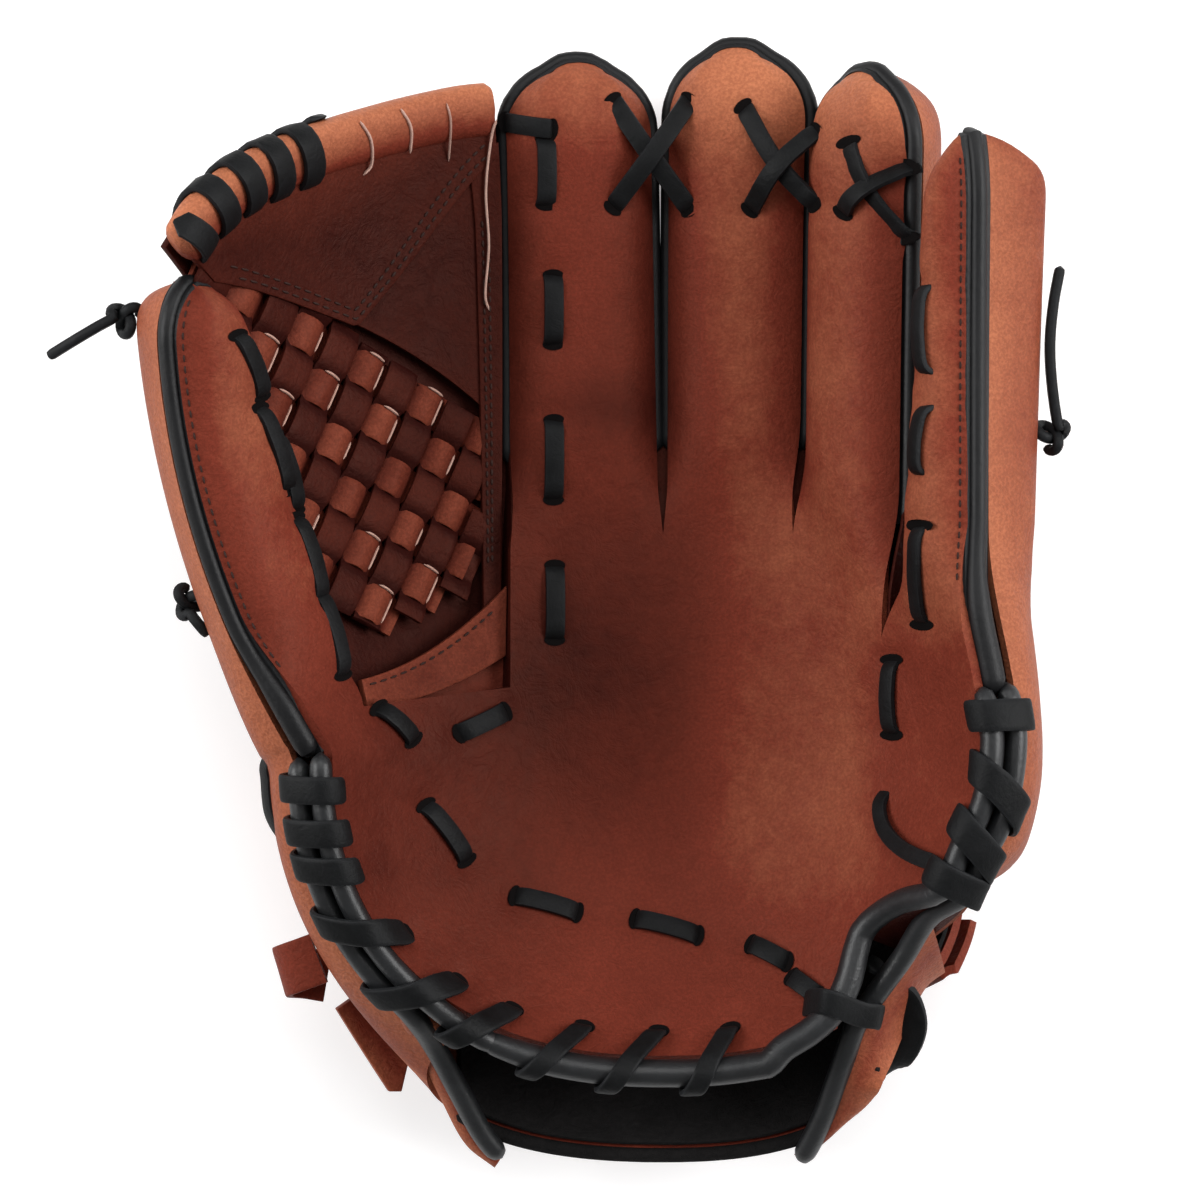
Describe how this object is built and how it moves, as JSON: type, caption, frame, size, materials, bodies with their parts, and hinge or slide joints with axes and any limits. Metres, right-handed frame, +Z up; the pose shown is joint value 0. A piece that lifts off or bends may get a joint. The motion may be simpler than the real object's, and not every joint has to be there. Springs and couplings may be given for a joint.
{
  "type": "fielder's baseball glove",
  "caption": "Leather fielding glove for the left hand with laced fingers, a basket-weave web, corded heel, padded palm and wrist strap; thumb and little-finger sides fold in to close on a ball.",
  "frame": {"origin": "middle of the glove's footprint, on the ground it lies on", "axes": "+Y from the heel to the finger tips, +X from thumb to little finger, +Z up out of the pocket"},
  "size_m": [0.2747, 0.3098, 0.1145],
  "materials": {
    "leather": "oiled red-brown cowhide, soft sheen",
    "web_leather": "dark brown cowhide with light cut edges",
    "lace": "black rawhide, satin",
    "welt": "black rolled leather",
    "felt": "wool felt",
    "lining": "dark lining",
    "fastener": "hook and loop tape"
  },
  "bodies": {
    "palm_side": {"palm_shell": "leather", "hand_back": "leather", "index_back": "leather", "middle_back": "leather", "ring_back": "leather", "index_welt": "welt", "middle_welt": "welt", "ring_welt": "welt", "index_pad": "felt", "middle_pad": "felt", "ring_pad": "felt", "palm_pad": "felt", "heel_pad": "felt", "palm_lining": "lining", "heel_cords": "lace", "heel_lace": "lace", "wrist_lining": "lining", "wrist_binding": "welt", "index_middle_lace": "lace", "middle_ring_lace": "lace", "index_web_lace": "lace", "palm_lace": "lace", "ring_lace": "lace", "loop_patch": "fastener", "hook_patch": "fastener", "wrist_strap": "leather", "wrist_loop": "lace"},
    "thumb_side": {"thumb_shell": "leather", "thumb_back": "leather", "thumb_welt": "welt", "thumb_pad": "felt", "thumb_heel_pad": "felt", "thumb_heel_cords": "lace", "thumb_heel_lace": "lace", "thumb_palm_lace": "lace", "web_panel": "web_leather", "web_yoke": "web_leather", "web_border": "web_leather", "web_crotch_tab": "leather", "web_strips_across": "web_leather", "web_strips_along": "web_leather", "web_top_band": "leather", "web_band_lace": "lace", "web_thumb_lace": "lace", "thumb_binding": "welt", "thumb_knot": "lace", "strap_fold": "leather"},
    "pinky_side": {"pinky_shell": "leather", "pinky_back": "leather", "pinky_welt": "welt", "pinky_pad": "felt", "pinky_heel_pad": "felt", "pinky_heel_cords": "lace", "pinky_heel_lace": "lace", "pinky_lace": "lace", "pinky_knot": "lace"},
    "strap_end": {"strap_tail": "leather"}
  },
  "joints": [
    {"name": "thumb_fold", "type": "hinge", "parent": "palm_side", "child": "thumb_side", "pos_m": [-0.0136, 0, 0.0549], "axis": [0, 0.9928, -0.1199], "range_deg": [0, 40], "stiffness_Nm_per_rad": 2},
    {"name": "pinky_fold", "type": "hinge", "parent": "palm_side", "child": "pinky_side", "pos_m": [0.08887, 0.0156, 0.0715], "axis": [-0.0742, -0.9891, -0.1272], "range_deg": [0, 30], "stiffness_Nm_per_rad": 2},
    {"name": "strap_end_lift", "type": "hinge", "parent": "thumb_side", "child": "strap_end", "pos_m": [-0.05684, -0.10822, 0.03702], "axis": [0.8018, 0.5506, -0.2324], "range_deg": [0, 60], "stiffness_Nm_per_rad": 0.02}
  ]
}
